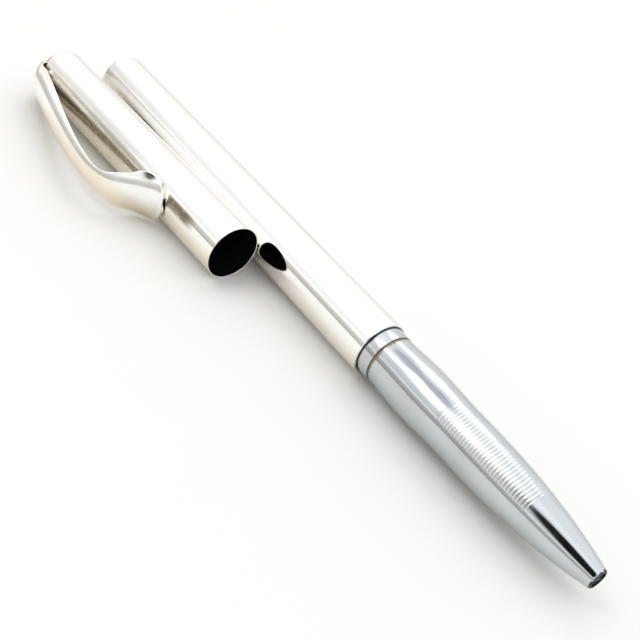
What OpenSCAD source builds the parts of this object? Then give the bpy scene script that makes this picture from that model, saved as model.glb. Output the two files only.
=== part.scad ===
// Slim metal rollerball pen lying uncapped beside its cap.
// Millimetres, +Z up, +X towards the nose, origin at the centre of the barrel's flat tail face.
// Lengths along the pen are counted from the barrel mouth.

/* [Barrel] */
// Outside radius of the barrel
barrel_r = 5.0; // [4.5:0.05:6]
// Length of the barrel from mouth to closed tail
barrel_len = 85.0; // [75:0.5:100]
// Inside radius of the barrel tube
barrel_bore_r = 4.45; // [4:0.01:4.8]
// Inside radius of the brass lining
lining_bore_r = 4.0; // [3.8:0.01:4.2]
// Radius of the rounded tail edge
tail_round = 0.5; // [0.1:0.05:1.5]

/* [Section] */
// Distance from barrel mouth to the end of the nose
nose_x = 46.0; // [40:0.1:55]
// Radius of the slim neck of the section
neck_r = 4.36; // [4:0.01:4.6]
// Extra radius of the swell behind the grip
swell = 0.30; // [0:0.01:0.6]
// Place of the widest point of the swell
swell_x = 9.9; // [6:0.1:14]
// Length of the swell
swell_len = 18.0; // [12:0.1:22]
// How much smaller the nose end is than the neck
nose_drop = 2.72; // [2:0.01:3.2]
// Exponent of the nose curve
nose_power = 2.45; // [1.5:0.05:3.5]
// Number of grip grooves
grooves = 32; // [0:1:40]
// Place of the first grip groove
groove_x = 16.3; // [14:0.1:20]
// Distance between grip grooves
groove_pitch = 0.56; // [0.4:0.01:1]
// Depth of a grip groove
groove_depth = 0.09; // [0.02:0.01:0.2]
// Radius of the collar next to the barrel
collar_r = 4.46; // [4.1:0.01:4.6]

/* [Thread] */
// Outside radius of the threaded sleeve
sleeve_r = 3.93; // [3.5:0.01:4]
// Radial clearance between sleeve and brass nut
thread_gap = 0.05; // [0.02:0.01:0.1]

/* [Refill] */
// Outside radius of the refill tube
refill_r = 3.05; // [2.9:0.01:3.1]
// Place of the outermost point of the writing ball
ball_x = 45.6; // [44:0.05:47]
// Overall length of the refill
refill_len = 110.5; // [105:0.1:115]
// Radius of the writing ball
ball_r = 0.35; // [0.2:0.01:0.5]
// Number of spring turns
spring_turns = 7; // [4:1:10]
// Radius of the spring wire
spring_wire_r = 0.3; // [0.2:0.01:0.4]
// Mean radius of the spring
spring_r = 2.6; // [2:0.05:3]

/* [Cap] */
// Place of the cap mouth along the pen
cap_x = -27.4; // [-40:0.1:-10]
// Place of the cap mouth beside the pen
cap_y = -10.1; // [-14:0.05:-10]
// Angle between cap and barrel, degrees
cap_yaw = 2.2; // [0:0.1:6]
// Outside radius of the cap
cap_r = 4.90; // [4.8:0.01:5.4]
// Inside radius of the cap at the mouth
cap_bore_r = 4.70; // [4.6:0.01:4.9]
// Length of the cap tube
cap_len = 58.6; // [50:0.1:70]
// Extra radius at the top of the cap
cap_flare = 0.1; // [0:0.01:0.6]

/* [Clip] */
// Roll of the clip round the cap below the horizontal, degrees
clip_roll = 1.0; // [0:0.1:8]
// Thickness of the clip's leg
clip_t = 1.2; // [0.8:0.05:2]
// Half width of the leg that lies over the crown
leg_w = 2.2; // [1.5:0.05:3]
// Half width of the strap at its root
root_w = 3.2; // [2:0.05:4]
// Half width of the strap where it bows out most
waist_w = 2.15; // [1.5:0.05:3]
// Half width of the tongue at its widest
tongue_w = 4.2; // [3:0.05:4.6]
// Distance of the bow from the cap axis
bow_r = 12.8; // [9:0.05:14]

/* [Output] */
// Which piece to draw

/* [Hidden] */

$fn = 96;
slip = 0.01;                       // gap between pieces that are fixed together
neck_x = swell_x + swell_len / 2;  // where the swell ends and the nose curve starts
groove_end_x = 2.6;                // front side of the turned groove behind the grip
groove_back_x = 2.3;               // rear side of the turned groove
groove_floor_r = 4.2;
sleeve_bore_r = sleeve_r + slip;   // bore of the section round the sleeve
sleeve_front_x = 12.0;
sleeve_back_x = -8.5;
bush_r = 3.5;
bush_front_x = 23.0;
refill_back_x = ball_x - refill_len;
tube_front_x = 24.0;
tube_bore_r = 2.6;
tip_r = 1.15;
tip_back_x = 38.5;
cone_front_r = 1.75;
feed_r = 0.6;
lining_back_x = -79.5;
tail_plug_x = -78.2;               // front face of the tail plug
cup_floor_x = refill_back_x - 1.3; // rear face of the spring cup
crown_x = -cap_len;                // all cap sizes below run from the mouth, negative to the top
liner_x = -17.0;
clutch_x = -13.5;                  // front face of the clutch ring
liner_bore_r = 4.5;
flange_x = -53.4;                  // front face of the liner's end flange
flange_t = 1.0;
screw_r = 1.0;
crown_plug_x = -54.6;
pin_out = 0.8;                     // clip pin centre beyond the cap axis, away from the bow
leg_x = -cap_len - 1.9;            // inner side of the clip leg that lies over the crown

// Radius of the writing section at distance x from the barrel mouth
function section_r(x) =
    x < neck_x ? neck_r + swell * (1 + cos(360 * (x - swell_x) / swell_len)) / 2
               : neck_r - nose_drop * pow((x - neck_x) / (nose_x - neck_x), nose_power);

// One point of a cubic curve through four control points
function curve_at(p, t) =
    pow(1 - t, 3) * p[0] + 3 * t * pow(1 - t, 2) * p[1] + 3 * t * t * (1 - t) * p[2] + pow(t, 3) * p[3];

// Frame of the pen: X = 0 at the barrel mouth
module at_pen() {
    translate([barrel_len, 0, 0]) children();
}

// Frame of the cap: X = 0 at the cap mouth, negative towards its closed top
module in_cap() {
    translate([barrel_len + cap_x, cap_y, 0]) rotate([0, 0, cap_yaw]) children();
}

// Solid of revolution about X from [radius, x] points
module turned(points) {
    rotate([0, 90, 0]) rotate_extrude() polygon(points);
}

// Plain tube about X
module tube(x0, x1, inner, outer) {
    turned([[inner, x0], [outer, x0], [outer, x1], [inner, x1]]);
}

// ---- writing section ----

groove_edges = [0, 0.16, 0.26, 0.42];  // start, floor start, floor end and end of a groove
smooth_steps = 24;

section_outline = concat(
    [for (i = [0 : smooth_steps])
        let (x = groove_end_x + (groove_x - groove_end_x) * i / (smooth_steps + 1))
        [section_r(x), x]],
    [for (i = [0 : grooves - 1])
        for (j = [0 : 3])
            let (x = groove_x + i * groove_pitch + groove_edges[j])
            [section_r(x) - (j == 1 || j == 2 ? groove_depth : 0), x]],
    [for (i = [1 : smooth_steps])
        let (x0 = groove_x + grooves * groove_pitch, x = x0 + (nose_x - 0.15 - x0) * i / smooth_steps)
        [section_r(x), x]]);

module grip_section() {
    nose_hole_r = 1.3;
    inner_nose_r = 2.0;
    color("silver") at_pen() turned(concat(
        [[sleeve_bore_r, groove_back_x], [groove_floor_r, groove_back_x],
         [groove_floor_r, groove_end_x]],
        section_outline,
        [[section_r(nose_x) - 0.15, nose_x], [nose_hole_r, nose_x], [nose_hole_r, 41.0],
         [inner_nose_r, 41.0], [inner_nose_r, 33.0], [refill_r + 0.1, 28.0],
         [refill_r + 0.1, bush_front_x + 0.3], [bush_r, bush_front_x + 0.3],
         [bush_r, sleeve_front_x + 0.3], [sleeve_bore_r, sleeve_front_x + 0.3]]));
}

module section_collar() {
    color("silver") at_pen() turned([[sleeve_bore_r, 0.14], [collar_r - 0.06, 0.14],
        [collar_r, 0.22], [collar_r, 2.2], [collar_r - 0.08, 2.29], [sleeve_bore_r, 2.29]]);
}

module seal_ring() {
    color("dimgray") at_pen() turned([[sleeve_bore_r, -0.2], [4.5, -0.2], [4.56, -0.1],
        [4.56, 0.05], [4.52, 0.13], [sleeve_bore_r, 0.13]]);
}

module section_thread_sleeve() {
    color("goldenrod") at_pen() turned([[3.2, sleeve_back_x], [sleeve_r - 0.25, sleeve_back_x],
        [sleeve_r, sleeve_back_x + 0.25], [sleeve_r, sleeve_front_x], [3.2, sleeve_front_x]]);
}

module front_bush() {
    color("gray") at_pen() tube(13.0, bush_front_x, refill_r + 0.05, bush_r - slip);
}

// ---- refill ----

module refill_tube() {
    color("lightsteelblue") at_pen() tube(refill_back_x + 2.9, tube_front_x, tube_bore_r, refill_r);
}

module refill_nose_cone() {
    color("black") at_pen() turned([[feed_r + slip, 20.0], [tube_bore_r - slip, 20.0],
        [tube_bore_r - slip, tube_front_x + slip], [refill_r - 0.05, tube_front_x + slip],
        [cone_front_r, 30.0], [cone_front_r, tip_back_x - slip], [feed_r + slip, tip_back_x - slip]]);
}

module refill_tip() {
    ball_clear = 0.02;
    color("gainsboro") at_pen() difference() {
        turned([[0, tip_back_x], [tip_r, tip_back_x], [tip_r, 41.5], [0.42, ball_x - 0.3], [0, ball_x - 0.3]]);
        translate([ball_x - ball_r, 0, 0]) sphere(r = ball_r + ball_clear);
    }
}

module refill_ball() {
    color("dimgray") at_pen() translate([ball_x - ball_r, 0, 0]) sphere(r = ball_r);
}

module refill_end_plug() {
    color("white") at_pen() turned([[0, refill_back_x], [refill_r - 0.3, refill_back_x],
        [refill_r, refill_back_x + 0.3], [refill_r, refill_back_x + 2.9 - slip],
        [tube_bore_r - slip, refill_back_x + 2.9 - slip], [tube_bore_r - slip, refill_back_x + 5.0],
        [0, refill_back_x + 5.0]]);
}

module ink_reservoir() {
    color("midnightblue") at_pen() tube(-48.0, 19.8, 0, tube_bore_r - 0.05);
}

module ink_feed() {
    color("navy") at_pen() tube(20.2, tip_back_x - 0.1, 0, feed_r);
}

// ---- barrel ----

module barrel_shell() {
    mouth_bore_r = 4.62;
    mouth_depth = 0.6;
    color("silver") at_pen() turned([[barrel_bore_r, -barrel_len + 1.5], [barrel_r, -barrel_len + 1.5],
        [barrel_r, -0.1], [barrel_r - 0.1, 0], [mouth_bore_r, 0], [mouth_bore_r, -mouth_depth],
        [barrel_bore_r, -mouth_depth]]);
}

module barrel_end_cap() {
    round_steps = 6;
    color("silver") at_pen() turned(concat(
        [[0, -barrel_len]],
        [for (i = [0 : round_steps])
            let (a = 90 * i / round_steps)
            [barrel_r - tail_round * (1 - sin(a)), -barrel_len + tail_round * (1 - cos(a))]],
        [[barrel_r, -barrel_len + 1.5 - slip], [barrel_bore_r - slip, -barrel_len + 1.5 - slip],
         [barrel_bore_r - slip, lining_back_x - 1.0], [0, lining_back_x - 1.0]]));
}

module barrel_lining() {
    color("goldenrod") at_pen() tube(lining_back_x, -12.0, lining_bore_r, barrel_bore_r - slip);
}

module barrel_thread_bush() {
    color("goldenrod") at_pen() tube(-11.9, -0.7, sleeve_r + thread_gap, barrel_bore_r - slip);
}

module tail_plug() {
    seat_r = 1.9;
    color("gray") at_pen() turned([[0, lining_back_x - 0.9], [lining_bore_r - slip, lining_back_x - 0.9],
        [lining_bore_r - slip, tail_plug_x], [seat_r, tail_plug_x], [seat_r - 0.3, tail_plug_x + 1.6],
        [0, tail_plug_x + 1.6]]);
}

// ---- spring ----

module spring_cup() {
    cup_r = 3.6;
    color("gray") at_pen() turned([[0, cup_floor_x], [cup_r, cup_floor_x], [cup_r, refill_back_x + 1.9],
        [refill_r + 0.07, refill_back_x + 1.9], [refill_r + 0.07, refill_back_x - 0.06],
        [0, refill_back_x - 0.06]]);
}

module refill_spring() {
    sides = 8;
    per_turn = 20;
    steps = spring_turns * per_turn;
    start_x = tail_plug_x + spring_wire_r + slip;
    length = cup_floor_x - slip - spring_wire_r - start_x;
    points = [for (i = [0 : steps]) for (j = [0 : sides - 1])
        let (a = 360 * i / per_turn, b = 360 * j / sides, r = spring_r + spring_wire_r * cos(b))
        [start_x + length * i / steps + spring_wire_r * sin(b), r * cos(a), r * sin(a)]];
    walls = [for (i = [0 : steps - 1]) for (j = [0 : sides - 1])
        let (k = (j + 1) % sides)
        [i * sides + j, i * sides + k, (i + 1) * sides + k, (i + 1) * sides + j]];
    first_end = [[for (j = [sides - 1 : -1 : 0]) j]];
    last_end = [[for (j = [0 : sides - 1]) steps * sides + j]];
    color("lightgray") at_pen() polyhedron(points, concat(walls, first_end, last_end));
}

module centring_ring() {
    color("gray") at_pen() turned([[refill_r + 0.07, -15.5], [3.8, -15.5], [3.9, -15.4], [3.9, -13.1],
        [3.8, -13.0], [refill_r + 0.07, -13.0]]);
}

// ---- cap ----

module cap_shell() {
    flare_len = 6.0;
    flare_steps = 8;
    color("silver") in_cap() turned(concat(
        [[cap_bore_r, -cap_len], [cap_r + cap_flare, -cap_len]],
        [for (i = [1 : flare_steps])
            [cap_r + cap_flare * (1 + cos(180 * i / flare_steps)) / 2, -cap_len + flare_len * i / flare_steps]],
        [[cap_r, -0.06], [cap_r - 0.06, 0], [cap_bore_r + 0.06, 0], [cap_bore_r, -0.06]]));
}

module cap_crown() {
    top_r = cap_r + cap_flare;
    top_x = -cap_len - 1.8;
    notch_w = 3.0;                     // half width of the flat below the clip's shoulder
    color("silver") in_cap() difference() {
        turned([[screw_r + 0.02, crown_plug_x], [cap_bore_r - slip, crown_plug_x],
            [cap_bore_r - slip, crown_x - slip], [top_r, crown_x - slip], [top_r - 0.05, top_x + 1.0],
            [top_r - 0.35, top_x + 0.4], [top_r - 1.0, top_x + 0.05], [top_r - 1.6, top_x], [0, top_x],
            [0, crown_x + 0.5], [screw_r + 0.02, crown_x + 0.5]]);
        rotate([clip_roll, 0, 0]) translate([crown_x, pin_out, 0]) rotate([0, -90, 0])
            cylinder(r = 0.52, h = 5);
        rotate([clip_roll, 0, 0]) linear_extrude(2 * notch_w, center = true)
            polygon([[top_x - 1, -1.3], [top_x, -1.3], [top_x + 2.6, -5.9], [top_x - 1, -5.9]]);
    }
}

module cap_liner() {
    color("dimgray") in_cap() turned([[screw_r + 0.05, flange_x - flange_t],
        [cap_bore_r - slip, flange_x - flange_t], [cap_bore_r - slip, liner_x], [liner_bore_r, liner_x],
        [liner_bore_r, flange_x], [screw_r + 0.05, flange_x]]);
}

module cap_clutch_ring() {
    color("dimgray") in_cap() tube(liner_x + slip, clutch_x, 4.6, cap_bore_r - slip);
}

module cap_tip_seal() {
    color("black") in_cap() turned([[0, -51.9], [liner_bore_r - slip, -51.9], [liner_bore_r - slip, -49.0],
        [1.6, -49.0], [1.2, -49.8], [0, -49.8]]);
}

module cap_screw() {
    head_r = 1.9;
    slot_w = 0.5;
    color("goldenrod") in_cap() difference() {
        turned([[0, crown_x + 0.6], [screw_r, crown_x + 0.6], [screw_r, flange_x + slip],
            [head_r, flange_x + slip], [head_r, flange_x + 1.2], [0, flange_x + 1.2]]);
        translate([flange_x + 0.8, -head_r, -slot_w / 2]) cube([1, 2 * head_r, slot_w]);
    }
}

module clip_pin() {
    color("goldenrod") in_cap() rotate([clip_roll, 0, 0]) translate([crown_x, pin_out, 0]) rotate([0, -90, 0])
        cylinder(r = 0.5, h = 3.1);
}

// ---- clip ----

// Outer middle line of leg, shoulder, strap, bend and tongue: [distance from mouth, distance from cap axis]
leg_out_x = leg_x - clip_t;
bow_x = -27.0;
bend = [-19.2, 8.7];
clip_curves = [
    [[leg_out_x, -1.9], [leg_out_x, -1.1], [leg_out_x, -0.2], [leg_out_x, 0.6]],
    [[leg_out_x, 0.6], [leg_out_x, 3.6], [leg_x + 0.2, 6.9], [-56.5, 7.7]],
    [[-56.5, 7.7], [-48.5, 9.5], [-36.0, bow_r], [bow_x, bow_r]],
    [[bow_x, bow_r], [-22.3, bow_r], [-20.6, 11.4], bend],
    [bend, [-18.0, 6.3], [-17.0, 5.65], [-13.5, 5.65]]];
curve_steps = 8;
clip_last = 5 * curve_steps;

// Middle line at station i of the clip
function clip_at(i) = let (c = min(4, floor(i / curve_steps))) curve_at(clip_curves[c], i / curve_steps - c);

// Unit normal of the middle line at station i, away from the cap
function clip_normal(i) =
    let (d = clip_at(min(i + 1, clip_last)) - clip_at(max(i - 1, 0))) [-d[1], d[0]] / norm(d);

// Half width of the clip at curve position u, where its middle line is at x
function clip_w(u, x) =
    u < 1 ? leg_w
    : u < 2 ? leg_w + (root_w - leg_w) * (1 - cos(180 * (u - 1))) / 2
    : u < 3 ? waist_w + (root_w - waist_w) * sin(90 * (bow_x - x) / (bow_x + 56.5))
    : u < 4 ? waist_w + (0.83 * tongue_w - waist_w) * (1 - cos(180 * pow(u - 3, 1.25))) / 2
    : u < 4.35 ? tongue_w * (0.83 + 0.17 * sin(90 * (u - 4) / 0.35))
    : max(0.4, tongue_w * sqrt(1 - pow((u - 4.35) / 0.65, 2)));

// Radius of the rounded outside across the clip: half-round strap, shallower tongue
function dome_r(u) = 3.6 + 3.4 * min(1, max(0, (u - 3) / 0.8));

// How far the outside has dropped at z from the middle of the clip
function dome_drop(u, z) = min(1, max(0, u - 1)) * (dome_r(u) - sqrt(max(0, pow(dome_r(u), 2) - z * z)));

// Outline across the clip at station i: over the rounded outside, then back along the inside
function clip_ring(i) =
    let (u = i / curve_steps, at = clip_at(i), n = clip_normal(i), w = clip_w(u, at[0]),
         root = min(1, max(0, u - 1)), tip = min(1, max(0, u - 3)),
         edge = clip_t + (0.25 - clip_t) * root,
         middle = clip_t + ((1 - tip) * dome_drop(u, w) + tip * 0.35 + 0.25 - clip_t) * root,
         across = 6)
    concat(
        [for (k = [-across : across])
            let (z = w * sin(90 * k / across), q = at - n * dome_drop(u, z)) [q[0], -q[1], z]],
        [for (k = [across : -2 : -across]) let (z = w * sin(90 * k / across),
            q = at - n * (middle + (dome_drop(u, w) + edge - middle) * pow(z / w, 2))) [q[0], -q[1], z]]);

module clip() {
    rings = [for (i = [0 : clip_last]) clip_ring(i)];
    count = len(rings[0]);
    points = [for (r = rings) for (p = r) p];
    skin = [for (i = [0 : clip_last - 1]) for (k = [0 : count - 1]) let (a = i * count + k,
        b = i * count + (k + 1) % count) each [[a, b, a + count], [b, b + count, a + count]]];
    ends = [for (k = [1 : count - 2]) each [[0, k + 1, k],
        [clip_last * count, clip_last * count + k, clip_last * count + k + 1]]];
    color("silver") in_cap() rotate([clip_roll, 0, 0]) difference() {
        polyhedron(points = points, faces = concat(skin, ends), convexity = 6);
        translate([leg_x + 1, pin_out, 0]) rotate([0, -90, 0]) cylinder(r = 0.58, h = 4);
    }
}

grip_section();
section_collar();
seal_ring();
section_thread_sleeve();
front_bush();
refill_tube();
refill_nose_cone();
refill_tip();
refill_ball();
refill_end_plug();
ink_reservoir();
ink_feed();
barrel_shell();
barrel_end_cap();
barrel_lining();
barrel_thread_bush();
tail_plug();
spring_cup();
refill_spring();
centring_ring();
cap_shell();
cap_crown();
cap_liner();
cap_clutch_ring();
cap_tip_seal();
cap_screw();
clip_pin();
clip();
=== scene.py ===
"""Looks for the rollerball pen: turned metal, bowed clip, refill, spring and threads, on a pale floor.

Lengths in the building functions are millimetres in the pen's frame (x = 0 at the barrel mouth) or in the
cap's frame (x = 0 at the cap mouth, negative towards its closed top). Every object is placed by a matrix.
"""

import math

import bmesh
import bpy
from mathutils import Matrix, Vector

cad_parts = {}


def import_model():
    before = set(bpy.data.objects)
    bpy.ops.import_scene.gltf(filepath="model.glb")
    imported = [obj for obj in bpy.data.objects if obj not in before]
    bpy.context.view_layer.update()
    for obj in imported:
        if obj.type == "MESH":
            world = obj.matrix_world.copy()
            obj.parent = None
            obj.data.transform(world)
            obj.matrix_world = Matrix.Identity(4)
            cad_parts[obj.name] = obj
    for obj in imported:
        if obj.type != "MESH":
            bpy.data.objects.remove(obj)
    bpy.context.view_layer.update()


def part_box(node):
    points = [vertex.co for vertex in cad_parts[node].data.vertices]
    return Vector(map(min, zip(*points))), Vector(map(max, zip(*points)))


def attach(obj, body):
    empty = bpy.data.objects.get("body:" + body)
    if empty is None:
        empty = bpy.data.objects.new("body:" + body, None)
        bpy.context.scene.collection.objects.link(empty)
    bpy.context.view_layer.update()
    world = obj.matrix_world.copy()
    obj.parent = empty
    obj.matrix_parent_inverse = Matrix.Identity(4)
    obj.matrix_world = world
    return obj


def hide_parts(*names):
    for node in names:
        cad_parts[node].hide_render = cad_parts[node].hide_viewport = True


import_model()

MM = 0.001
TURN = 2 * math.pi

# ---------------------------------------------------------------- frames, from the CAD

BARREL_LEN = 85.0
PEN = Matrix.Translation((BARREL_LEN * MM, 0, 0))
CAP_YAW = math.radians(2.2)
CLIP_ROLL = math.radians(1.0)
CAP = Matrix.Translation(((BARREL_LEN - 27.4) * MM, -10.1 * MM, 0)) @ Matrix.Rotation(CAP_YAW, 4, "Z")
CLIP = CAP @ Matrix.Rotation(CLIP_ROLL, 4, "X")
FLOOR_Z = -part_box("barrel_shell")[1].z

BARREL_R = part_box("barrel_shell")[1].z / MM
REFILL_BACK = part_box("refill_end_plug")[0].x / MM - BARREL_LEN
NOSE_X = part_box("grip_section")[1].x / MM - BARREL_LEN
NECK_R, SWELL, SWELL_X, SWELL_LEN = 4.36, 0.30, 9.9, 18.0
NOSE_DROP, NOSE_POWER = 2.72, 2.45
GROOVES, GROOVE_X, GROOVE_PITCH, GROOVE_DEPTH = 32, 16.3, 0.56, 0.014
GROOVE_END = 2.6
THREAD_LEAD, THREAD_STARTS = 1.5, 2
CAP_R, CAP_BORE_R, CAP_LEN, CAP_FLARE = 4.90, 4.70, 58.6, 0.1
TOP_X = -CAP_LEN - 1.8
NOTCH_W, NOTCH_D, NOTCH_SLOPE = 3.0, 1.3, 4.6 / 2.6
LINER_X, LINER_BORE_R, CLUTCH_X = -17.0, 4.5, -13.5
SLEEVE_R, SLEEVE_BORE_R = 3.93, 3.94
BARREL_BORE_R, LINING_BORE_R = 4.45, 4.0
REFILL_R, REFILL_BORE_R = 3.05, 2.6
SLIP = 0.01
LEG_OUT_X, LEG_W, LEG_T = -CAP_LEN - 3.1, 2.2, 1.2
ROOT_W, WAIST_W, TONGUE_W = 3.2, 2.15, 4.2
EDGE_T, TONGUE_T = 0.25, 0.35
SHOULDER_X, BOW_X, BOW_R = -56.5, -27.0, 12.8
PIN_OUT, PIN_R, PIN_HOLE_R = 0.8, 0.5, 0.58


# ---------------------------------------------------------------- materials

class Shader:
    """A node material under construction: one Principled shader and small helpers to feed it."""

    def __init__(self, name):
        self.mat = bpy.data.materials.new(name)
        self.mat.use_nodes = True
        self.tree = self.mat.node_tree
        self.bsdf = next(n for n in self.tree.nodes if n.type == "BSDF_PRINCIPLED")
        coord = self.add("ShaderNodeTexCoord")
        self.place = coord.outputs["Object"]

    def add(self, kind, **values):
        node = self.tree.nodes.new(kind)
        for key, value in values.items():
            setattr(node, key, value)
        return node

    def link(self, a, b):
        self.tree.links.new(a, b)

    def stretch(self, scale, turn=(0, 0, 0)):
        """Object coordinates scaled by so many cycles a millimetre along each axis."""
        node = self.add("ShaderNodeMapping")
        node.inputs["Scale"].default_value = [s / MM for s in scale]
        node.inputs["Rotation"].default_value = turn
        self.link(self.place, node.inputs["Vector"])
        return node.outputs["Vector"]

    def noise(self, scale, detail=3.0, rough=0.55, turn=(0, 0, 0)):
        node = self.add("ShaderNodeTexNoise")
        node.inputs["Scale"].default_value = 1.0
        node.inputs["Detail"].default_value = detail
        node.inputs["Roughness"].default_value = rough
        self.link(self.stretch(scale, turn), node.inputs["Vector"])
        return node.outputs["Fac"]

    def cells(self, scale):
        node = self.add("ShaderNodeTexVoronoi")
        node.inputs["Scale"].default_value = 1.0
        self.link(self.stretch(scale), node.inputs["Vector"])
        return node.outputs["Distance"]

    def ramp(self, source, low, high, out_low=0.0, out_high=1.0):
        node = self.add("ShaderNodeMapRange", interpolation_type="SMOOTHSTEP")
        for key, value in (("From Min", low), ("From Max", high), ("To Min", out_low), ("To Max", out_high)):
            node.inputs[key].default_value = value
        self.link(source, node.inputs["Value"])
        return node.outputs["Result"]

    def math(self, operation, a, b):
        node = self.add("ShaderNodeMath", operation=operation)
        for socket, value in zip(node.inputs, (a, b)):
            if isinstance(value, (int, float)):
                socket.default_value = value
            else:
                self.link(value, socket)
        return node.outputs[0]

    def times(self, *factors):
        """Product of sockets and numbers."""
        product = factors[0]
        for factor in factors[1:]:
            product = self.math("MULTIPLY", product, factor)
        return product

    def near(self, source, value):
        """Distance of source from a value."""
        return self.math("ABSOLUTE", self.math("SUBTRACT", source, value), 0.0)

    def stretch_between(self, source, start, end, rise, fall):
        """1 between start and end, fading in over rise and out over fall."""
        return self.times(self.ramp(source, start, start + rise), self.ramp(source, end - fall, end, 1.0, 0.0))

    def angle(self):
        """Angle round the X axis, from +Y towards +Z, in radians."""
        return self.math("ARCTAN2", self.axis("Z"), self.axis("Y"))

    def blend(self, amount, a, b):
        """Colour a where amount is 0, b where it is 1. a and b are colours or sockets."""
        node = self.add("ShaderNodeMix", data_type="RGBA")
        sockets = [s for s in node.inputs if s.type == "RGBA"]
        self.link(amount, node.inputs["Factor"])
        for socket, value in zip(sockets, (a, b)):
            if isinstance(value, tuple):
                socket.default_value = (*value, 1)
            else:
                self.link(value, socket)
        return next(s for s in node.outputs if s.type == "RGBA")

    def axis(self, letter):
        """One object coordinate, in millimetres."""
        node = self.add("ShaderNodeSeparateXYZ")
        self.link(self.stretch((1, 1, 1)), node.inputs[0])
        return node.outputs[letter]

    def along(self, toward):
        """Distance along a direction through the origin, in millimetres."""
        node = self.add("ShaderNodeVectorMath", operation="DOT_PRODUCT")
        self.link(self.stretch((1, 1, 1)), node.inputs[0])
        node.inputs[1].default_value = toward
        return node.outputs["Value"]

    def bump(self, height, depth_mm, strength=1.0):
        node = self.add("ShaderNodeBump")
        node.inputs["Distance"].default_value = depth_mm * MM
        node.inputs["Strength"].default_value = strength
        self.link(height, node.inputs["Height"])
        self.link(node.outputs["Normal"], self.bsdf.inputs["Normal"])

    def set(self, **values):
        for key, value in values.items():
            self.bsdf.inputs[key.replace("_", " ")].default_value = value

    def feed(self, name, socket):
        self.link(socket, self.bsdf.inputs[name])


# Each layer below takes a shader with its colour and roughness so far, and returns both with the layer added.

def dull(s, colour, rough, amount, tone, extra):
    """Blends in a tone and roughens by extra, both by amount."""
    return s.blend(amount, colour, tone), s.math("ADD", rough, s.times(amount, extra))


def add_spots(s, colour, rough, strength):
    """Tiny dark spots in loose groups."""
    dot = s.ramp(s.cells((1.4, 1.4, 1.4)), 0.05, 0.11, 1.0, 0.0)
    sparse = s.ramp(s.noise((0.3, 0.3, 0.3), 2.0), 0.52, 0.60)
    return dull(s, colour, rough, s.times(dot, sparse, strength), (0.16, 0.11, 0.06), 0.35)


def add_side_shade(s, colour, rough, end, length, tone):
    """Soft painted shade, greyer and a little rougher, over a stretch of that length, up to end along X, on the
    -Y side.
    """
    cloud = s.times(s.ramp(s.axis("X"), end - length, end, 1.0, 0.0),
                    s.ramp(s.axis("Y"), -BARREL_R, -BARREL_R * 0.5, 1.0, 0.0),
                    s.ramp(s.noise((0.25, 0.4, 0.4), 4.0, 0.6), 0.2, 0.6, 0.6, 1.0))
    return dull(s, colour, rough, cloud, tone, 0.2)


def add_warm_reflection(s, colour, rough, toward, start, end, tone):
    """Yellowish painted reflection of the warm floor, taking over from start to end along a direction."""
    amount = s.math("ADD", s.along(toward), s.times(s.noise((0.1, 0.4, 0.4), 3.0), 0.8))
    return s.blend(s.ramp(amount, start, end), colour, tone), rough


def add_tongue_reflection(s, colour, rough, start, end, angle, half, tone):
    """Dull brown painted reflection of the clip's tongue, from start to end along X, so many degrees to each
    side of an angle.
    """
    patch = s.times(s.ramp(s.noise((0.8, 1.2, 1.2), 4.0, 0.65), 0.3, 0.5, 0.65, 1.0),
                    s.ramp(s.near(s.angle(), math.radians(angle)), math.radians(half) * 0.4, math.radians(half),
                           1.0, 0.0),
                    s.stretch_between(s.axis("X"), start, end, 1.2, 3.5))
    return dull(s, colour, rough, patch, tone, 0.2)


def add_grip_highlight(s, colour, rough):
    """Whitish painted highlight band on one side over the grip grooves, rougher there, with a greyer painted
    shade line in each groove.
    """
    last = GROOVE_X + GROOVES * GROOVE_PITCH
    sides = s.times(s.ramp(s.angle(), math.radians(96), math.radians(104)),
                    s.ramp(s.angle(), math.radians(148), math.radians(153), 1.0, 0.0))
    lit_band = s.times(sides, s.ramp(s.axis("X"), GROOVE_X - 0.1, GROOVE_X + 0.1),
                   s.ramp(s.axis("X"), last - 0.3, last - 0.1, 1.0, 0.0))
    turns = s.math("DIVIDE", s.math("SUBTRACT", s.axis("X"), GROOVE_X), GROOVE_PITCH)
    groove_shade = s.ramp(s.near(s.math("FRACT", turns, 0.0), 0.3), 0.12, 0.26, 1.0, 0.0)
    colour = s.blend(s.times(lit_band, 0.8), colour, s.blend(groove_shade, (0.74, 0.75, 0.74), (0.50, 0.51, 0.50)))
    return colour, s.math("ADD", rough, s.times(lit_band, 0.22))


def add_reflection_streak(s, colour, rough, angle, half, start, end, tone):
    """Wandering darker line along a turned piece: a painted dark reflection."""
    wander = s.times(s.math("SUBTRACT", s.noise((0.12, 0.5, 0.5), 3.0), 0.5), 0.25)
    off = s.near(s.math("ADD", s.angle(), wander), math.radians(angle))
    line = s.times(s.ramp(off, math.radians(half) * 0.3, math.radians(half), 1.0, 0.0),
                   s.stretch_between(s.axis("X"), start, end, 3.0, 4.0))
    return s.blend(line, colour, tone), rough


def add_wear_and_reflection_zone(s, colour, rough, toward, start, end, tone):
    """Another colour with dark speckle in it, from start to end along a direction, with ragged edges. Used for
    real wear and solder, and at the nose end for painted dark reflection.
    """
    ragged = s.math("ADD", s.along(toward), s.times(s.noise((1.6, 1.6, 1.6), 4.0, 0.7), 1.2))
    inside = s.stretch_between(ragged, start, end, 0.2, 0.2)
    dark_speckle = s.ramp(s.noise((4.0, 4.0, 4.0), 3.0, 0.7), 0.56, 0.64)
    return dull(s, colour, rough, inside, s.blend(dark_speckle, tone, tuple(c * 0.12 for c in tone)), 0.25)


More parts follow.
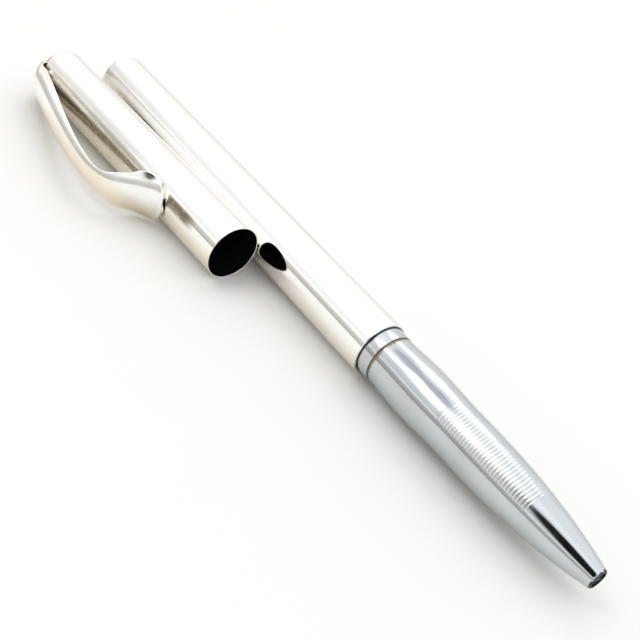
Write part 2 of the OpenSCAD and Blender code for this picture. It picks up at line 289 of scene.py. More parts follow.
def worn_metal(name, colour, shade, rough, layers=(), turned=False):
    """Polished or turned metal with soft smudges, hairline scratches, and layers of tarnish, wear, painted
    shade, painted highlight and painted reflection.

    layers are (function, value, ...) of the add_ functions above, in the order in which they lie on the metal.
    """
    s = Shader(name)
    s.set(Metallic=1.0, Anisotropic=0.25 if turned else 0.0)
    colour_now = s.blend(s.ramp(s.noise((0.12, 0.2, 0.2), 5.0, 0.6), 0.45, 0.72), colour, shade)
    smudge = s.ramp(s.noise((0.35, 0.5, 0.5), 4.0, 0.65), 0.35, 0.75, rough * 0.75, rough * 1.5)
    hair = s.math("MAXIMUM", s.ramp(s.noise((0.25, 9.0, 9.0), 2.0, 0.7, (0, 0, math.radians(14))), 0.66, 0.74),
                  s.ramp(s.noise((0.4, 12.0, 12.0), 2.0, 0.7, (0, 0, math.radians(-32))), 0.68, 0.76))
    rough_now = s.math("ADD", smudge, s.times(hair, 0.10))
    for add, *values in layers:
        colour_now, rough_now = add(s, colour_now, rough_now, *values)
    s.feed("Base Color", colour_now)
    s.feed("Roughness", rough_now)
    rings = s.noise((16.0, 0.4, 0.4), 2.0, 0.6) if turned else s.noise((3.0, 3.0, 3.0), 3.0, 0.6)
    s.bump(s.math("SUBTRACT", s.times(rings, 0.5), s.times(hair, 0.6)), 0.0012, 0.5)
    return s.mat


def moulded(name, colour, other, rough, grain=5.0, depth=0.004, coat=0.0):
    """Plastic, rubber, or flat black for painted shade, with fine moulding grain, faint dust and uneven gloss.
    """
    s = Shader(name)
    s.set(Metallic=0.0, Coat_Weight=coat, Coat_Roughness=0.12)
    dust = s.ramp(s.noise((0.5, 0.5, 0.5), 5.0, 0.7), 0.48, 0.78, 0.0, 0.65)
    s.feed("Base Color", s.blend(dust, colour, other))
    s.feed("Roughness", s.ramp(s.noise((0.9, 0.9, 0.9), 4.0, 0.6), 0.3, 0.75,
                               rough * 0.8, min(1.0, rough * 1.25)))
    s.bump(s.noise((grain, grain, grain), 3.0, 0.6), depth, 0.6)
    return s.mat


SILVER = (0.97, 0.96, 0.93)
AGED = (0.94, 0.92, 0.87)
WARM_REFLECTION = (0.88, 0.80, 0.64)
UNDER = (0.0, -0.94, -0.34)  # the side turned to the floor, where the warm painted reflection of the floor lies
CLIP_UNDER = CLIP.to_3x3() @ Vector((0, -0.5, -0.87))
CLIP_SHIFT = CLIP_UNDER.dot(CLIP.translation) / MM
M_BARREL = worn_metal("barrel_silver", SILVER, AGED, 0.05, [
    # painted shade on the tail's -Y side, which faces the cap
    (add_spots, 0.35), (add_side_shade, -BARREL_LEN + 34.0, 32.0, (0.64, 0.61, 0.54)),
    # warm painted reflection of the floor on the barrel's underside
    (add_warm_reflection, UNDER, 4.6, 6.0, WARM_REFLECTION)])
M_CAP = worn_metal("cap_silver", SILVER, AGED, 0.07, [
    # painted shade on the cap's -Y side under the clip's bow; warm painted reflection of the floor on its
    # underside
    (add_spots, 0.25), (add_side_shade, -18.0, 14.0, (0.60, 0.57, 0.50)), (add_warm_reflection, UNDER, 4.3, 5.6, WARM_REFLECTION),
    # painted dark reflection of the clip's tongue beside its tip
    (add_tongue_reflection, -14.5, -5.0, 158, 15, (0.30, 0.25, 0.17))])
M_CROWN = worn_metal("crown_silver", SILVER, (0.90, 0.84, 0.72), 0.10, [
    (add_spots, 0.3),
    (add_wear_and_reflection_zone, (NOTCH_SLOPE, 1, 0), -200.0, NOTCH_SLOPE * TOP_X - NOTCH_D + 0.9, (0.62, 0.47, 0.28))])
M_CLIP = worn_metal("clip_silver", SILVER, (0.94, 0.91, 0.83), 0.17, [
    # warm painted reflection of the floor on the clip's underside
    (add_spots, 0.2), (add_warm_reflection, CLIP_UNDER, 3.6 + CLIP_SHIFT, 6.6 + CLIP_SHIFT, WARM_REFLECTION)])
# painted highlight band and painted groove shade over the grip
M_SECTION = worn_metal("section_chrome", (0.60, 0.63, 0.64), (0.55, 0.57, 0.57), 0.10, [
    # painted dark reflection streak along the section
    (add_grip_highlight,), (add_reflection_streak, 118, 9, 2.0, 19.0, (0.33, 0.35, 0.38)),
    (add_wear_and_reflection_zone, (1, 0, 0), 2.5, 3.55, (0.34, 0.29, 0.20)),
    # black painted reflection over the end of the nose
    (add_wear_and_reflection_zone, (1, 0, 0), NOSE_X + 0.3, 99.0, (0.04, 0.04, 0.04))], turned=True)
M_COLLAR = worn_metal("collar_chrome", (0.60, 0.63, 0.65), (0.55, 0.55, 0.51), 0.07, [(add_spots, 0.5)],
                      turned=True)
M_BRASS = worn_metal("turned_brass", (0.78, 0.60, 0.30), (0.62, 0.45, 0.22), 0.20, [(add_spots, 0.3)],
                     turned=True)
M_REFILL = worn_metal("refill_tube_steel", (0.60, 0.62, 0.66), (0.54, 0.55, 0.58), 0.26, turned=True)
M_TIP = worn_metal("tip_nickel", (0.82, 0.80, 0.76), (0.74, 0.72, 0.68), 0.16, turned=True)
M_CARBIDE = worn_metal("ball_carbide", (0.30, 0.30, 0.32), (0.22, 0.22, 0.24), 0.18)
M_SPRING = worn_metal("spring_wire", (0.72, 0.72, 0.74), (0.60, 0.59, 0.58), 0.22, turned=True)
# flat black painted shade for the bore of the cap tube
M_CAP_INSIDE_SHADE = moulded("cap_inside_painted_shade", (0.006, 0.006, 0.007), (0.02, 0.02, 0.021), 0.22, 2.0, 0.001, coat=0.4)
M_SEAL = moulded("black_ring_plastic", (0.008, 0.008, 0.009), (0.03, 0.03, 0.032), 0.30, 3.0, 0.002, coat=0.3)
M_BLACK = moulded("black_moulding", (0.012, 0.012, 0.013), (0.035, 0.034, 0.033), 0.42)
M_GREY = moulded("grey_moulding", (0.30, 0.31, 0.32), (0.36, 0.36, 0.36), 0.50)
M_WHITE = moulded("white_moulding", (0.78, 0.78, 0.76), (0.70, 0.69, 0.66), 0.45)
M_RUBBER = moulded("soft_seal_rubber", (0.02, 0.02, 0.02), (0.06, 0.058, 0.055), 0.75, 8.0, 0.01)
M_INK = moulded("ink_column", (0.004, 0.006, 0.05), (0.006, 0.008, 0.06), 0.08, 0.5, 0.0005, coat=0.5)
M_FIBRE = moulded("feed_fibre", (0.02, 0.025, 0.12), (0.05, 0.06, 0.2), 0.85, 12.0, 0.02)


# ---------------------------------------------------------------- building

def rounded(points, closed=False):
    """(x, r) or (x, r, softness) corners to (x, r) points, each soft corner as a small curve of that size."""
    out = []
    count = len(points)
    for i, p in enumerate(points):
        here = Vector(p[:2])
        soft = p[2] if len(p) > 2 else 0.0
        if not soft or (not closed and i in (0, count - 1)):
            out.append((here.x, here.y))
            continue
        a = here + (Vector(points[i - 1][:2]) - here).normalized() * soft
        b = here + (Vector(points[(i + 1) % count][:2]) - here).normalized() * soft
        for k in range(6):
            t = k / 5
            q = a * (1 - t) ** 2 + here * 2 * t * (1 - t) + b * t * t
            out.append((q.x, q.y))
    return out


def spaced(points, closed, longest=3.0):
    """The same outline with long straight stretches divided, so that shading stays even."""
    out = []
    pairs = zip(points, points[1:] + (points[:1] if closed else []))
    for a, b in pairs:
        out.append(a)
        length = math.dist(a, b)
        steps = int(length / longest)
        out += [(a[0] + (b[0] - a[0]) * k / (steps + 1), a[1] + (b[1] - a[1]) * k / (steps + 1))
                for k in range(1, steps + 1)]
    if not closed:
        out.append(points[-1])
    return out


def drill(mesh, x0, x1, y, radius):
    """Round hole along X through a mesh."""
    bm = bmesh.new()
    sides = 32
    angles = [TURN * (k + 0.37) / sides for k in range(sides)]
    rings = [[bm.verts.new((x * MM, (y + radius * math.cos(a)) * MM, radius * math.sin(a) * MM))
              for a in angles] for x in (x0, x1)]
    for k in range(sides):
        j = (k + 1) % sides
        bm.faces.new((rings[0][k], rings[0][j], rings[1][j], rings[1][k]))
    bm.faces.new(rings[0])
    bm.faces.new(rings[1])
    bmesh.ops.recalc_face_normals(bm, faces=bm.faces)
    pieces = []
    for data in (mesh, bpy.data.meshes.new("drill")):
        obj = bpy.data.objects.new("drill_" + str(len(pieces)), data)
        bpy.context.scene.collection.objects.link(obj)
        pieces.append(obj)
    bm.to_mesh(pieces[1].data)
    bm.free()
    cut = pieces[0].modifiers.new("hole", "BOOLEAN")
    cut.operation, cut.solver, cut.object = "DIFFERENCE", "EXACT", pieces[1]
    bpy.context.view_layer.update()
    drilled = bpy.data.meshes.new_from_object(pieces[0].evaluated_get(bpy.context.evaluated_depsgraph_get()))
    tool = pieces[1].data
    for obj in pieces:
        bpy.data.objects.remove(obj)
    for old in (mesh, tool):
        bpy.data.meshes.remove(old)
    bm = bmesh.new()
    bm.from_mesh(drilled)
    bmesh.ops.remove_doubles(bm, verts=bm.verts, dist=5e-7)
    bmesh.ops.dissolve_degenerate(bm, edges=bm.edges, dist=5e-7)
    bm.to_mesh(drilled)
    bm.free()
    return drilled


def finish_mesh(name, bm, material, body, nodes, place, sharp=40.0, hole=None):
    """Turns a bmesh into an object that rides on a body and stands for CAD nodes."""
    bmesh.ops.remove_doubles(bm, verts=bm.verts, dist=1e-8)
    bmesh.ops.recalc_face_normals(bm, faces=bm.faces)
    mesh = bpy.data.meshes.new(name)
    bm.to_mesh(mesh)
    bm.free()
    if hole:
        mesh = drill(mesh, *hole)
        mesh.name = name
        mesh.transform(place)
        place = Matrix()
    for m in material if isinstance(material, (list, tuple)) else [material]:
        mesh.materials.append(m)
    mesh.polygons.foreach_set("use_smooth", [True] * len(mesh.polygons))
    mesh.set_sharp_from_angle(angle=math.radians(sharp))
    obj = bpy.data.objects.new(name, mesh)
    bpy.context.scene.collection.objects.link(obj)
    obj.matrix_world = place
    even = obj.modifiers.new("even_shading", "WEIGHTED_NORMAL")
    even.keep_sharp = True
    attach(obj, body)
    if nodes:
        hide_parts(*nodes)
    return obj


def surface(name, rings, closed_loop, material, body, nodes, place, zone=None, sharp=40.0, hole=None):
    """A skin over rings of points. A ring of one point closes an end. closed_loop joins last to first."""
    bm = bmesh.new()
    made = [[bm.verts.new([c * MM for c in p]) for p in ring] for ring in rings]
    pairs = list(zip(made, made[1:])) + ([(made[-1], made[0])] if closed_loop else [])
    for index, (a, b) in enumerate(pairs):
        count = max(len(a), len(b))
        for k in range(count):
            j = (k + 1) % count
            corners = [a[k % len(a)], a[j % len(a)], b[j % len(b)], b[k % len(b)]]
            face = bm.faces.new(list(dict.fromkeys(corners)))
            if zone:
                face.material_index = zone(index)
    return finish_mesh(name, bm, material, body, nodes, place, sharp, hole)


def lathe(name, outline, material, body, nodes=None, place=PEN, segments=112, swell=None, inner=None,
          longest=3.0):
    """A turned piece about X from an (x, r, softness) outline.

    The outline closes on itself unless it starts on the axis.
    swell(x, r, angle) may change the radius, for threads and knurls. inner(x, r) picks the second material.
    """
    closed = outline[0][1] > 0
    points = spaced(rounded(outline, closed), closed, longest)
    rings = []
    for x, r in points:
        if r <= 0:
            rings.append([(x, 0, 0)])
            continue
        ring = []
        for k in range(segments):
            a = TURN * k / segments
            q = swell(x, r, a) if swell else r
            ring.append((x, q * math.cos(a), q * math.sin(a)))
        rings.append(ring)
    middles = [tuple((u + v) / 2 for u, v in zip(p, q)) for p, q in zip(points, points[1:] + points[:1])]
    zone = (lambda i: 1 if inner(*middles[i]) else 0) if inner else None
    return surface(name, rings, closed, material, body, nodes or [name], place, zone)


def tube(x0, x1, inner, outer, soft=0.05):
    return [(x0, inner, soft), (x0, outer, soft), (x1, outer, soft), (x1, inner, soft)]


def thread(depth, start, end):
    """Radius change of the pen's screw thread, inwards by depth, fading in and out at its ends."""
    def change(x, r, angle):
        if not start < x < end or r < 3.5:
            return r
        phase = (x / THREAD_LEAD - angle / TURN) * THREAD_STARTS % 1.0
        wave = abs(2 * phase - 1)
        fade = min(1.0, (x - start) / 0.5, (end - x) / 0.5)
        return r - depth * wave * fade
    return change


# ---------------------------------------------------------------- writing section

def section_r(x):
    if x < SWELL_X + SWELL_LEN / 2:
        return NECK_R + SWELL * (1 + math.cos(TURN * (x - SWELL_X) / SWELL_LEN)) / 2
    start = SWELL_X + SWELL_LEN / 2
    return NECK_R - NOSE_DROP * ((x - start) / (NOSE_X - start)) ** NOSE_POWER


def grip_outline():
    """Outside of the section from the turned groove to the nose, with its fine round-bottomed grip grooves."""
    groove_w = 0.34
    points = [(GROOVE_END + (GROOVE_X - GROOVE_END) * i / 30, None) for i in range(31)]
    for g in range(GROOVES):
        for k in range(7):
            points.append((GROOVE_X + GROOVE_PITCH * g + groove_w * k / 6, math.sin(math.pi * k / 6)))
        points.append((GROOVE_X + GROOVE_PITCH * g + (groove_w + GROOVE_PITCH) / 2, None))
    last = GROOVE_X + GROOVE_PITCH * GROOVES
    points += [(last + (NOSE_X - 0.2 - last) * (i / 36), None) for i in range(37)]
    seen = []
    for x, dip in points:
        if not seen or x > seen[-1][0] + 1e-4:
            seen.append((x, section_r(x) - GROOVE_DEPTH * (dip or 0)))
    return seen


NOSE_END = section_r(NOSE_X) - 0.15
lathe("grip_section_skin", [(2.3, SLEEVE_BORE_R), (2.3, 4.2, 0.05), (GROOVE_END - 0.02, 4.2, 0.04)]
      + grip_outline()
      + [(NOSE_X, NOSE_END, 0.08), (NOSE_X, 1.3, 0.05), (41.0, 1.3), (41.0, 2.0), (33.0, 2.0), (28.0, 3.15),
         (23.3, 3.15), (23.3, 3.5), (12.3, 3.5), (12.3, SLEEVE_BORE_R)],
      M_SECTION, "front", ["grip_section"], segments=144)
lathe("collar_skin", [(0.14, SLEEVE_BORE_R), (0.14, 4.46, 0.08), (2.29, 4.46, 0.12), (2.29, SLEEVE_BORE_R)],
      M_COLLAR, "front", ["section_collar"], segments=144)
lathe("seal_ring_skin", [(-0.2, SLEEVE_BORE_R), (-0.2, 4.56, 0.1), (0.13, 4.56, 0.1), (0.13, SLEEVE_BORE_R)],
      M_SEAL, "front", ["seal_ring"], segments=144)
lathe("thread_sleeve_skin", [(-8.5, 3.2, 0.05), (-8.5, SLEEVE_R, 0.25), (12.0, SLEEVE_R), (12.0, 3.2)],
      M_BRASS, "front", ["section_thread_sleeve"], swell=thread(0.22, -8.2, -0.6),
      longest=0.09, segments=72)
lathe("front_bush_skin", tube(13.0, 23.0, 3.10, 3.49, 0.1), M_GREY, "front", ["front_bush"])


# ---------------------------------------------------------------- refill

TUBE_BACK = REFILL_BACK + 2.9


def crimp(x, r, angle):
    """Two rolled rings that hold the plastic ends in the refill tube."""
    for at in (TUBE_BACK + 2.0, 22.0):
        r -= 0.06 * math.exp(-((x - at) / 0.25) ** 2) if r > 2.8 else 0
    return r


lathe("refill_tube_skin", tube(TUBE_BACK, 24.0, REFILL_BORE_R, REFILL_R, 0.04),
      M_REFILL, "refill", ["refill_tube"], swell=crimp, longest=0.25, segments=64)
lathe("refill_cone_skin", [(20.0, 0.61), (20.0, REFILL_BORE_R - SLIP, 0.1),
                           (24.01, REFILL_BORE_R - SLIP), (24.01, 3.0, 0.1), (25.0, 2.85, 0.2),
                           (30.0, 1.75, 1.0), (35.5, 1.75, 0.05), (35.6, 1.66, 0.04), (35.9, 1.66, 0.04),
                           (36.0, 1.75, 0.05), (38.49, 1.75, 0.12), (38.49, 0.61)],
      M_BLACK, "refill", ["refill_nose_cone"])
BALL_C, BALL_R = 45.25, 0.35
lathe("refill_tip_skin", [(38.5, 0.0), (38.5, 1.15, 0.05), (40.9, 1.15, 0.05), (41.0, 1.08, 0.03),
                          (41.2, 1.08, 0.03), (41.5, 1.15, 0.08), (44.0, 0.68, 0.3), (45.3, 0.43, 0.03),
                          (45.3, 0.366), (45.12, 0.35), (44.95, 0.21), (44.88, 0.0)],
      M_TIP, "refill", ["refill_tip"], segments=64, longest=0.6)
lathe("refill_ball_skin", [(BALL_C - BALL_R * math.cos(math.pi * k / 20), BALL_R * math.sin(math.pi * k / 20)
                            if 0 < k < 20 else 0.0) for k in range(21)],
      M_CARBIDE, "ball", ["refill_ball"], segments=40)
lathe("refill_plug_skin", [(REFILL_BACK, 0.0), (REFILL_BACK, 1.0, 0.05), (REFILL_BACK + 0.3, 1.2, 0.08),
                           (REFILL_BACK + 0.3, 1.9, 0.08), (REFILL_BACK, 2.1, 0.1),
                           (REFILL_BACK, REFILL_R, 0.3),
                           (TUBE_BACK - SLIP, REFILL_R, 0.06), (TUBE_BACK - SLIP, REFILL_BORE_R - SLIP),
                           (REFILL_BACK + 5.0, REFILL_BORE_R - SLIP, 0.3),
                           (REFILL_BACK + 5.0, 0.0)],
      M_WHITE, "refill", ["refill_end_plug"])
lathe("ink_column_skin", [(-48.0, 0.0), (-47.6, 1.5, 0.6), (-48.0, 2.55, 0.2), (19.8, 2.55, 0.2), (19.8, 0.0)],
      M_INK, "refill", ["ink_reservoir"])
lathe("ink_feed_skin", [(20.2, 0.0), (20.2, 0.6, 0.1), (38.4, 0.6, 0.25), (38.4, 0.0)], M_FIBRE, "refill",
      ["ink_feed"], segments=40,
      swell=lambda x, r, a: r * (1 - 0.03 * (1 + math.cos(9 * a))))


# ---------------------------------------------------------------- barrel

TAIL = -BARREL_LEN
lathe("barrel_skin", [(TAIL + 1.5, BARREL_BORE_R), (TAIL + 1.5, BARREL_R, 0.01), (0.0, BARREL_R, 0.12),
                      (0.0, 4.62, 0.06), (-0.6, 4.62), (-0.6, BARREL_BORE_R)],
      M_BARREL, "barrel", ["barrel_shell"], segments=160)
lathe("barrel_tail_skin", [(TAIL, 0.0), (TAIL, BARREL_R, 0.55), (TAIL + 1.5 - SLIP, BARREL_R, 0.01),
                           (TAIL + 1.5 - SLIP, BARREL_BORE_R - SLIP), (-80.5, BARREL_BORE_R - SLIP, 0.2),
                           (-80.5, 0.0)],
      M_BARREL, "barrel", ["barrel_end_cap"], segments=160)
lathe("barrel_lining_skin", tube(-79.5, -12.0, LINING_BORE_R, BARREL_BORE_R - SLIP), M_BRASS, "barrel",
      ["barrel_lining"])
lathe("barrel_nut_skin", [(-11.9, 3.98, 0.2), (-11.9, BARREL_BORE_R - SLIP, 0.1),
                          (-0.7, BARREL_BORE_R - SLIP, 0.1), (-0.7, 3.98, 0.2)],
      M_BRASS, "barrel", ["barrel_thread_bush"], longest=0.09, segments=72,
      swell=lambda x, r, a: thread(-0.2, -11.6, -1.0)(x, r, a) if r < 4.1 else r)
lathe("tail_plug_skin", [(-80.4, 0.0), (-80.4, LINING_BORE_R - SLIP, 0.2), (-78.2, LINING_BORE_R - SLIP, 0.3),
                         (-78.2, 1.9, 0.1), (-76.6, 1.6, 0.4), (-76.6, 0.0)],
      M_GREY, "barrel", ["tail_plug"])


# ---------------------------------------------------------------- spring, cup and centring ring

CUP_FLOOR = REFILL_BACK - 1.3
lathe("spring_cup_skin", [(CUP_FLOOR, 0.0), (CUP_FLOOR, 3.6, 0.2), (REFILL_BACK + 1.9, 3.6, 0.12),
                          (REFILL_BACK + 1.9, 3.12, 0.15), (REFILL_BACK - 0.06, 3.12, 0.1),
                          (REFILL_BACK - 0.06, 0.0)],
      M_GREY, "cup", ["spring_cup"])
lathe("centring_ring_skin", [(-15.5, 3.12, 0.1), (-15.5, 3.9, 0.2), (-13.0, 3.9, 0.2), (-13.0, 3.12, 0.1)],
      M_GREY, "ring", ["centring_ring"],
      swell=lambda x, r, a: r - (0.14 * max(0.0, math.cos(6 * a)) ** 4 if r > 3.5 else 0))


def spring():
    """Compression spring wound at an even pitch, its wire ends capped."""
    turns, wire, radius = 7, 0.3, 2.6
    per_turn, sides = 40, 14
    start, end = -78.2 + wire + 0.01, CUP_FLOOR - wire - 0.01
    steps = turns * per_turn
    rings = []
    for i in range(steps + 1):
        t = i / steps
        a = TURN * turns * t
        x = start + (end - start) * t
        centre = Vector((x, radius * math.cos(a), radius * math.sin(a)))
        out = Vector((0, math.cos(a), math.sin(a)))
        rise = (end - start) / (TURN * turns)
        along = Vector((rise, -radius * math.sin(a), radius * math.cos(a))).normalized()
        up = along.cross(out)
        round_wire = [TURN * k / sides for k in range(sides)]
        rings.append([tuple(centre + wire * (out * math.cos(b) + up * math.sin(b))) for b in round_wire])
    first = [tuple(sum((Vector(p) for p in rings[0]), Vector()) / sides)]
    last = [tuple(sum((Vector(p) for p in rings[-1]), Vector()) / sides)]
    surface("refill_spring_skin", [first] + rings + [last], False, M_SPRING, "spring",
            ["refill_spring"], PEN)


spring()


# ---------------------------------------------------------------- cap

def flare(x):
    """Outside radius of the cap tube, opening slightly at its closed top."""
    t = min(1.0, (x + CAP_LEN) / 6.0)
    return CAP_R + CAP_FLARE * (1 + math.cos(math.pi * t)) / 2


cap_outside = [(-CAP_LEN + 6.0 * k / 12, flare(-CAP_LEN + 6.0 * k / 12)) for k in range(13)]
# the bore of the cap tube, inward of its mouth, is painted black: painted shade inside the cap
lathe("cap_skin", [(-CAP_LEN, CAP_BORE_R)] + cap_outside + [(0.0, CAP_R, 0.09), (0.0, CAP_BORE_R, 0.08)],
      [M_CAP, M_CAP_INSIDE_SHADE], "cap", ["cap_shell"], place=CAP, segments=160,
      inner=lambda x, r: r < CAP_BORE_R + 0.02 and x < -0.12)
TOP_R = CAP_R + CAP_FLARE


def crown_notch(x, r, angle):
    """Flat on the crown below the shoulder of the clip."""
    out = -math.cos(angle)
    if out <= 0 or abs(r * math.sin(angle)) > NOTCH_W or x > TOP_X + 3.0:
        return r
    return min(r, (NOTCH_D + NOTCH_SLOPE * (x - TOP_X)) / out)


lathe("cap_crown_skin", [(-54.6, 1.02), (-54.6, CAP_BORE_R - SLIP, 0.1), (-CAP_LEN - SLIP, CAP_BORE_R - SLIP),
                         (-CAP_LEN - SLIP, TOP_R, 0.01), (TOP_X + 0.9, TOP_R - 0.03, 0.3),
                         (TOP_X, TOP_R - 1.0, 0.7), (TOP_X, 0.4),
                         (-CAP_LEN + 0.5, 0.4), (-CAP_LEN + 0.5, 1.02)],
      M_CROWN, "cap", ["cap_crown"], place=CAP, segments=160, swell=crown_notch, longest=0.25)
lathe("cap_liner_skin", [(-54.4, 1.05, 0.05), (-54.4, CAP_BORE_R - SLIP, 0.1), (LINER_X, CAP_BORE_R - SLIP),
                         (LINER_X, LINER_BORE_R, 0.06), (-53.4, LINER_BORE_R, 0.1), (-53.4, 1.05, 0.05)],
      M_BLACK, "cap", ["cap_liner"], place=CAP,
      swell=lambda x, r, a: r + (0.04 * max(0.0, math.cos(12 * a)) if r < 4.6 and -50 < x < -18 else 0))
lathe("cap_clutch_skin", tube(LINER_X + SLIP, CLUTCH_X, 4.6, CAP_BORE_R - SLIP, 0.03), M_BLACK, "cap",
      ["cap_clutch_ring"], place=CAP)
lathe("cap_seal_skin", [(-51.9, 0.0), (-51.9, LINER_BORE_R - SLIP, 0.2), (-49.0, LINER_BORE_R - SLIP, 0.3),
                        (-49.0, 1.6, 0.2), (-49.8, 1.2, 0.3), (-49.8, 0.0)],
      M_RUBBER, "cap", ["cap_tip_seal"], place=CAP)


def cap_screw():
    """Cheese-head screw with a fine thread on its shank."""
    pitch, root, crest = 0.4, 0.82, 1.0
    head = [(-52.2, 0.0), (-52.2, 1.9, 0.2), (-53.39, 1.9, 0.1), (-53.39, 0.95, 0.05)]
    shank = []
    turns = int((58.0 - 53.6) / pitch)
    for k in range(turns):
        x = -53.5 - k * pitch
        shank += [(x, root), (x - pitch * 0.4, crest), (x - pitch * 0.55, crest), (x - pitch * 0.95, root)]
    lathe("cap_screw_skin", head + shank + [(-58.0, 0.7), (-58.0, 0.0)], M_BRASS, "cap", ["cap_screw"],
          place=CAP, segments=56)


cap_screw()
PIN_CAP = CLIP @ Matrix.Translation((0, PIN_OUT * MM, 0))
lathe("clip_pin_skin", [(LEG_OUT_X, 0.0), (LEG_OUT_X, PIN_R, 0.15), (-CAP_LEN, PIN_R, 0.1), (-CAP_LEN, 0.0)],
      M_BRASS, "cap", ["clip_pin"], place=PIN_CAP, segments=40)


# ---------------------------------------------------------------- clip

def bezier(p, t):
    return (p[0] * (1 - t) ** 3 + p[1] * 3 * t * (1 - t) ** 2 + p[2] * 3 * t * t * (1 - t) + p[3] * t ** 3)


BEND = (-19.2, 8.7)
CLIP_CURVES = [
    [(LEG_OUT_X, -1.9), (LEG_OUT_X, -1.1), (LEG_OUT_X, -0.2), (LEG_OUT_X, 0.6)],
    [(LEG_OUT_X, 0.6), (LEG_OUT_X, 3.6), (LEG_OUT_X + 1.4, 6.9), (SHOULDER_X, 7.7)],
    [(SHOULDER_X, 7.7), (-48.5, 9.5), (-36.0, BOW_R), (BOW_X, BOW_R)],
    [(BOW_X, BOW_R), (-22.3, BOW_R), (-20.6, 11.4), BEND],
    [BEND, (-18.0, 6.3), (-17.0, 5.65), (-13.5, 5.65)],
]


def clip_half_width(u, x):
    """Half width of the clip at curve position u: leg, shoulder, tapering strap, flaring bend, round tongue."""
    if u < 1:
        return LEG_W
    if u < 2:
        return LEG_W + (ROOT_W - LEG_W) * (1 - math.cos(math.pi * (u - 1))) / 2
    if u < 3:
        return WAIST_W + (ROOT_W - WAIST_W) * math.sin(math.pi / 2 * (BOW_X - x) / (BOW_X - SHOULDER_X))
    if u < 4:
        return WAIST_W + (0.83 * TONGUE_W - WAIST_W) * (1 - math.cos(math.pi * (u - 3) ** 1.25)) / 2
    if u < 4.35:
        return TONGUE_W * (0.83 + 0.17 * math.sin(math.pi / 2 * (u - 4) / 0.35))
    return max(0.12, TONGUE_W * math.sqrt(max(0.0, 1 - ((u - 4.35) / 0.65) ** 2)))


def dome_drop(u, z):
    """How far the rounded outside has dropped at z from the middle of the clip."""
    radius = 3.6 + 3.4 * min(1.0, max(0.0, (u - 3) / 0.8))
    return min(1.0, max(0.0, u - 1)) * (radius - math.sqrt(max(0.0, radius ** 2 - z * z)))


def clip():
    """Leg over the crown, rounded shoulder, half-round strap bowing out, and a thin domed tongue."""
    stations = []
    for c, curve in enumerate(CLIP_CURVES):
        curve = [Vector(p) for p in curve]
        steps = 12 if c == 0 else 36
        stations += [(c + k / steps, bezier(curve, k / steps)) for k in range(steps)]
    stations = [s for s in stations if s[0] < 4.9]
    for k in range(11):  # closer together towards the tip, to keep it round
        past = 0.1 * math.sin(math.pi / 2 * k / 10)
        stations.append((4.9 + past, bezier([Vector(p) for p in CLIP_CURVES[-1]], 0.9 + past)))
    across, rings = 16, []
    for i, (u, at) in enumerate(stations):
        a, b = stations[max(i - 1, 0)][1], stations[min(i + 1, len(stations) - 1)][1]
        along = (b - a).normalized()
        out = Vector((-along.y, along.x))
        w = clip_half_width(u, at.x)
        root, thin = min(1.0, max(0.0, u - 1)), min(1.0, max(0.0, u - 3))
        edge = LEG_T + (EDGE_T - LEG_T) * root
        middle = LEG_T + ((1 - thin) * dome_drop(u, w) + thin * TONGUE_T + EDGE_T - LEG_T) * root
        rim = min(0.12, w * 0.4)
        ring = []
        for k in range(-across, across + 1):
            z = (w - rim * 0.3) * math.sin(math.pi / 2 * k / across)
            ring.append((at - out * dome_drop(u, z), z))
        drop = dome_drop(u, w)
        ring += [(at - out * (drop + edge * 0.35), w), (at - out * (drop + edge * 0.65), w)]
        for k in range(across, -across - 1, -2):
            z = (w - rim * 0.3) * math.sin(math.pi / 2 * k / across)
            ring.append((at - out * (middle + (drop + edge - middle) * (z / w) ** 2), z))
        ring += [(at - out * (drop + edge * 0.65), -w), (at - out * (drop + edge * 0.35), -w)]
        rings.append([(p.x, -p.y, z) for p, z in ring])
    ends = [[tuple(sum((Vector(p) for p in r), Vector()) / len(r))] for r in (rings[0], rings[-1])]
    surface("clip_skin", [ends[0]] + rings + [ends[1]], False, M_CLIP, "clip", ["clip"], CLIP,
            sharp=50.0, hole=(LEG_OUT_X - 1.0, LEG_OUT_X + LEG_T + 1.0, PIN_OUT, PIN_HOLE_R))


clip()


# ---------------------------------------------------------------- floor, light and camera

def stage_plane(name, size, location, colour, rough):
    bm = bmesh.new()
    bmesh.ops.create_grid(bm, x_segments=1, y_segments=1, size=size / 2)
    mesh = bpy.data.meshes.new(name)
    bm.to_mesh(mesh)
    bm.free()
    s = Shader(name + "_paint")
    s.feed("Base Color", s.blend(s.noise((0.02, 0.02, 0.02), 3.0), colour, tuple(c * 0.99 for c in colour)))
    s.set(Roughness=rough, Specular_IOR_Level=0.2)
    mesh.materials.append(s.mat)
    obj = bpy.data.objects.new(name, mesh)
    bpy.context.scene.collection.objects.link(obj)
    obj.location = location
    return obj


stage_plane("floor", 3.0, (0, 0, FLOOR_Z - 0.00002), (0.91, 0.895, 0.855), 0.9)


def direction(azimuth, elevation):
    a, e = math.radians(azimuth), math.radians(elevation)
    return Vector((math.cos(e) * math.cos(a), math.cos(e) * math.sin(a), math.sin(e)))


def soft_light(name, side, brightness, azimuth, elevation, colour):
    """Square softbox on a sphere of 1.1 m round the pen. Power follows from how bright its face looks."""
    data = bpy.data.lights.new(name, "AREA")
    data.shape = "SQUARE"
    data.size = side
    data.energy = brightness * math.pi * side * side
    data.color = colour
    obj = bpy.data.objects.new(name, data)
    bpy.context.scene.collection.objects.link(obj)
    toward = direction(azimuth, elevation)
    obj.location = Vector((0.08, 0, 0)) + toward * 1.1
    obj.rotation_mode = "QUATERNION"
    obj.rotation_quaternion = (-toward).to_track_quat("-Z", "Y")
    return obj


soft_light("key_softbox", 0.42, 1.75, -128, 54, (1.0, 0.99, 0.96))
soft_light("window_softbox", 0.42, 1.2, 128, 52, (0.93, 0.97, 1.0))


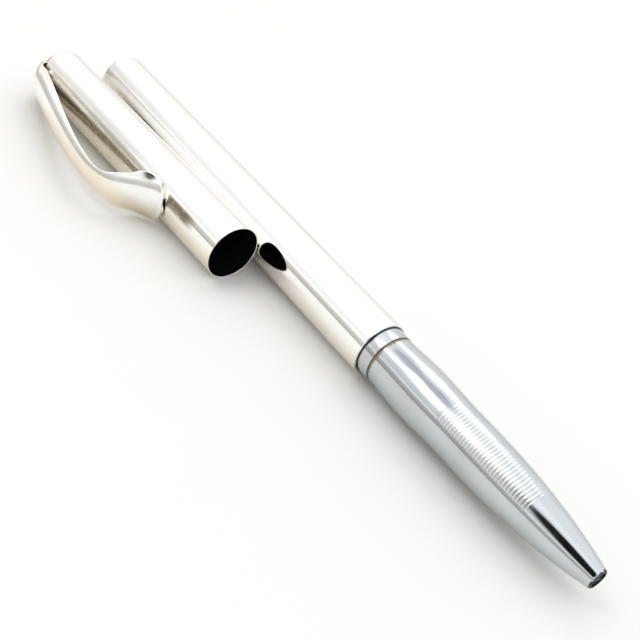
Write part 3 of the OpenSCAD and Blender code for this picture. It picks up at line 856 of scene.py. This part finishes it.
def world():
    """White studio tent, darker towards the horizon, with a light strip low in front and one dark opening."""
    w = bpy.data.worlds.new("studio")
    bpy.context.scene.world = w
    w.use_nodes = True
    tree = w.node_tree
    back = next(n for n in tree.nodes if n.type == "BACKGROUND")
    link = tree.links.new
    coord = tree.nodes.new("ShaderNodeTexCoord")
    split = tree.nodes.new("ShaderNodeSeparateXYZ")
    link(coord.outputs["Generated"], split.inputs[0])

    def ramp(source, low, high, out_low, out_high):
        node = tree.nodes.new("ShaderNodeMapRange")
        node.interpolation_type = "SMOOTHSTEP"
        for key, value in (("From Min", low), ("From Max", high), ("To Min", out_low), ("To Max", out_high)):
            node.inputs[key].default_value = value
        link(source, node.inputs["Value"])
        return node.outputs["Result"]

    def combine(operation, a, b):
        node = tree.nodes.new("ShaderNodeMath")
        node.operation = operation
        link(a, node.inputs[0])
        link(b, node.inputs[1])
        return node.outputs[0]

    height = split.outputs["Z"]
    near = combine("ADD", ramp(height, 0.02, 0.50, 0.38, 0.72), ramp(height, 0.50, 0.76, 0.0, 0.28))
    strip = combine("MULTIPLY", ramp(height, 0.26, 0.32, 0.0, 0.34), ramp(height, 0.34, 0.40, 1.0, 0.0))
    near = combine("ADD", near, strip)
    far = combine("ADD", ramp(height, 0.0, 0.24, 0.52, 0.74), ramp(height, 0.30, 0.75, 0.0, 0.14))
    behind = ramp(split.outputs["Y"], -0.15, 0.15, 0.0, 1.0)
    ahead = ramp(split.outputs["Y"], -0.15, 0.15, 1.0, 0.0)
    level = combine("ADD", combine("MULTIPLY", near, ahead), combine("MULTIPLY", far, behind))
    opening = tree.nodes.new("ShaderNodeVectorMath")
    opening.operation = "DOT_PRODUCT"
    link(coord.outputs["Generated"], opening.inputs[0])
    opening.inputs[1].default_value = direction(-68, 44)
    closeness = opening.outputs["Value"]
    core = ramp(closeness, math.cos(math.radians(25)), math.cos(math.radians(17)), 1.0, 0.01)
    edge = ramp(closeness, math.cos(math.radians(36)), math.cos(math.radians(22)), 1.0, 0.88)
    level = combine("MULTIPLY", level, combine("MULTIPLY", core, edge))
    tone = tree.nodes.new("ShaderNodeMix")
    tone.data_type = "RGBA"
    sockets = [i for i in tone.inputs if i.type == "RGBA"]
    sockets[0].default_value, sockets[1].default_value = (1.0, 0.985, 0.955, 1), (0.98, 1.0, 1.04, 1)
    link(ramp(height, 0.1, 0.6, 0.0, 1.0), tone.inputs["Factor"])
    colour = tree.nodes.new("ShaderNodeVectorMath")
    colour.operation = "SCALE"
    link(next(o for o in tone.outputs if o.type == "RGBA"), colour.inputs[0])
    link(level, colour.inputs["Scale"])
    link(colour.outputs["Vector"], back.inputs["Color"])
    back.inputs["Strength"].default_value = 1.34


world()
bpy.context.scene.view_settings.view_transform = "Standard"


def camera():
    """Pinhole camera as solved from the straight edges and round ends in the photograph."""
    data = bpy.data.cameras.new("camera")
    obj = bpy.data.objects.new("camera", data)
    bpy.context.scene.collection.objects.link(obj)
    data.sensor_width = 36.0
    data.lens = 53.597
    data.clip_start = 0.005
    right = Vector((0.572436, 0.759657, 0.308607))
    down = Vector((0.622794, -0.158013, -0.766263))
    ahead = Vector((-0.533333, 0.630835, -0.563562))
    turn = Matrix((right, -down, -ahead)).transposed().to_4x4()
    spot = Vector((69.806 + BARREL_LEN, -98.554, 83.124)) * MM
    obj.matrix_world = Matrix.Translation(spot) @ turn
    bpy.context.scene.camera = obj


camera()
